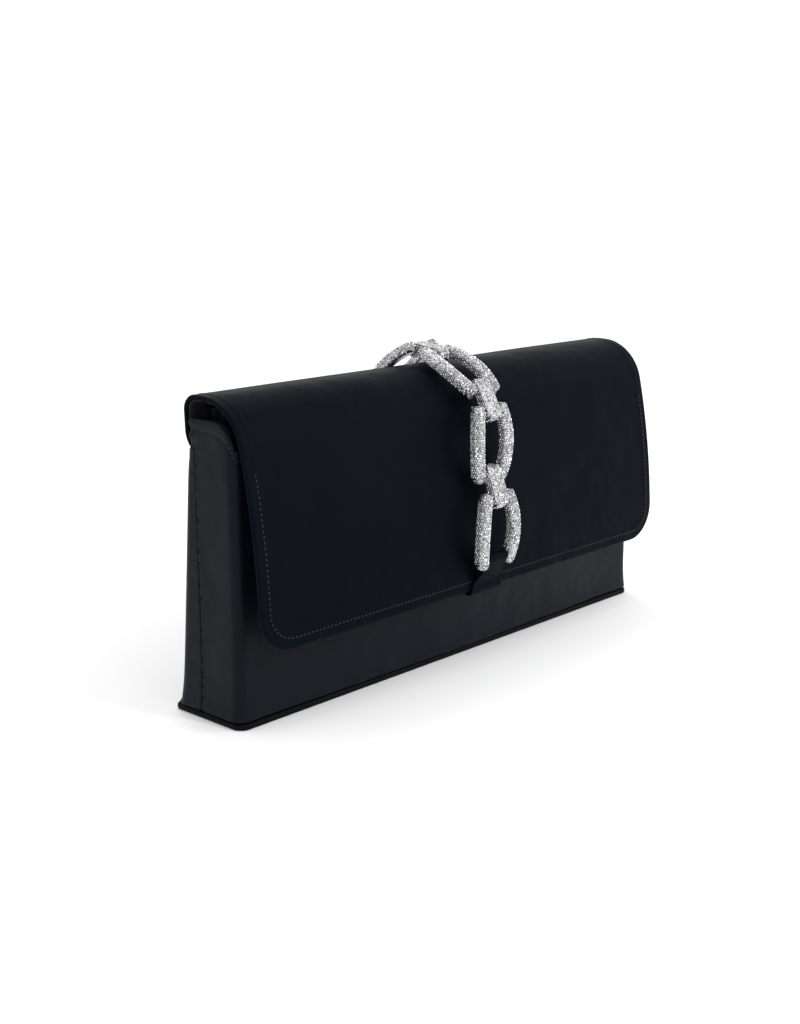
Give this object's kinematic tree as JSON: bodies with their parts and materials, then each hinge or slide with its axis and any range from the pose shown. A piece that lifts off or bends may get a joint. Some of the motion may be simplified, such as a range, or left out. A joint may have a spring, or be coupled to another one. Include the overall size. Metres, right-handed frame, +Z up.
{
  "type": "evening bag",
  "caption": "Slim black satin flap clutch on a stiff base, with a crystal link handle running over the flap, magnetic snap and lined pouch.",
  "frame": {"origin": "middle of the base's underside", "axes": "+X along the width, to the right seen from the front; +Y towards the back; +Z up. The flap is closed"},
  "size_m": [0.26, 0.0719, 0.137],
  "materials": {
    "satin": "black satin, soft sheen",
    "lining_cloth": "black lining cloth",
    "card": "grey-brown bag card",
    "wadding": "white fleece",
    "snap_steel": "bright nickel",
    "magnet": "sintered, dull",
    "plated_casting": "bright plated casting set with clear stones",
    "pin_steel": "polished"
  },
  "bodies": {
    "bag": {"base_cover": "satin", "base_board": "card", "base_welt": "satin", "front_wrap": "satin", "back_panel": "satin", "front_board": "card", "back_board": "card", "front_wadding": "wadding", "left_stiffener": "wadding", "right_stiffener": "wadding", "lining": "lining_cloth", "mouth_facing": "satin", "slip_pocket": "lining_cloth", "left_fold": "satin", "right_fold": "satin", "flap_tail": "satin", "magnet_socket": "snap_steel", "magnet_disc": "magnet", "socket_washer": "snap_steel"},
    "flap": {"flap_outer": "satin", "flap_board": "card", "flap_wadding": "wadding", "flap_lining": "lining_cloth", "magnet_stud": "snap_steel", "stud_washer": "snap_steel", "front_tab": "satin", "rear_tab": "satin"},
    "link_4": {"link_4_left": "plated_casting", "link_4_right": "plated_casting", "link_4_lower_pin": "pin_steel", "link_4_upper_pin": "pin_steel"},
    "connector_3": {"connector_3": "plated_casting"},
    "link_3": {"link_3_left": "plated_casting", "link_3_right": "plated_casting", "link_3_lower_pin": "pin_steel", "link_3_upper_pin": "pin_steel"},
    "connector_2": {"connector_2": "plated_casting"},
    "link_2": {"link_2_left": "plated_casting", "link_2_right": "plated_casting", "link_2_lower_pin": "pin_steel", "link_2_upper_pin": "pin_steel"},
    "connector_1": {"connector_1": "plated_casting"},
    "link_1": {"link_1_left": "plated_casting", "link_1_right": "plated_casting", "link_1_lower_pin": "pin_steel", "link_1_upper_pin": "pin_steel"}
  },
  "joints": [
    {"name": "flap_hinge", "type": "hinge", "parent": "bag", "child": "flap", "pos_m": [0, 0.0091, 0.1077], "axis": [-1, 0, 0], "range_deg": [0, 95]},
    {"name": "link_4_pivot", "type": "hinge", "parent": "flap", "child": "link_4", "pos_m": [0, -0.038, 0.0474], "axis": [-1, 0, 0], "range_deg": [0, 3.5]},
    {"name": "connector_3_pivot", "type": "hinge", "parent": "link_4", "child": "connector_3", "pos_m": [0, -0.03843, 0.072], "axis": [-1, 0, 0], "range_deg": [-0.94, 0.01]},
    {"name": "link_3_pivot", "type": "hinge", "parent": "connector_3", "child": "link_3", "pos_m": [0, -0.03423, 0.08419], "axis": [-1, 0, 0], "range_deg": [-2.32, 0.01]},
    {"name": "connector_2_pivot", "type": "hinge", "parent": "link_3", "child": "connector_2", "pos_m": [0, -0.0338, 0.10879], "axis": [-1, 0, 0], "range_deg": [-1.45, 0.01]},
    {"name": "link_2_pivot", "type": "hinge", "parent": "connector_2", "child": "link_2", "pos_m": [0, -0.02755, 0.12007], "axis": [-1, 0, 0], "range_deg": [-1.65, 0.01]},
    {"name": "connector_1_pivot", "type": "hinge", "parent": "link_2", "child": "connector_1", "pos_m": [0, -0.00583, 0.13162], "axis": [-1, 0, 0], "range_deg": [-0.57, 0.01]},
    {"name": "link_1_pivot", "type": "hinge", "parent": "connector_1", "child": "link_1", "pos_m": [0, 0.007, 0.13297], "axis": [-1, 0, 0], "range_deg": [-0.01, 8.21]}
  ],
  "couplings": [
    {"joint": "connector_3_pivot", "follows": "link_4_pivot", "ratio": -0.25},
    {"joint": "link_3_pivot", "follows": "link_4_pivot", "ratio": -0.645},
    {"joint": "connector_2_pivot", "follows": "link_4_pivot", "ratio": -0.397},
    {"joint": "link_2_pivot", "follows": "link_4_pivot", "ratio": -0.453},
    {"joint": "connector_1_pivot", "follows": "link_4_pivot", "ratio": -0.146},
    {"joint": "link_1_pivot", "follows": "link_4_pivot", "ratio": 2.329}
  ]
}
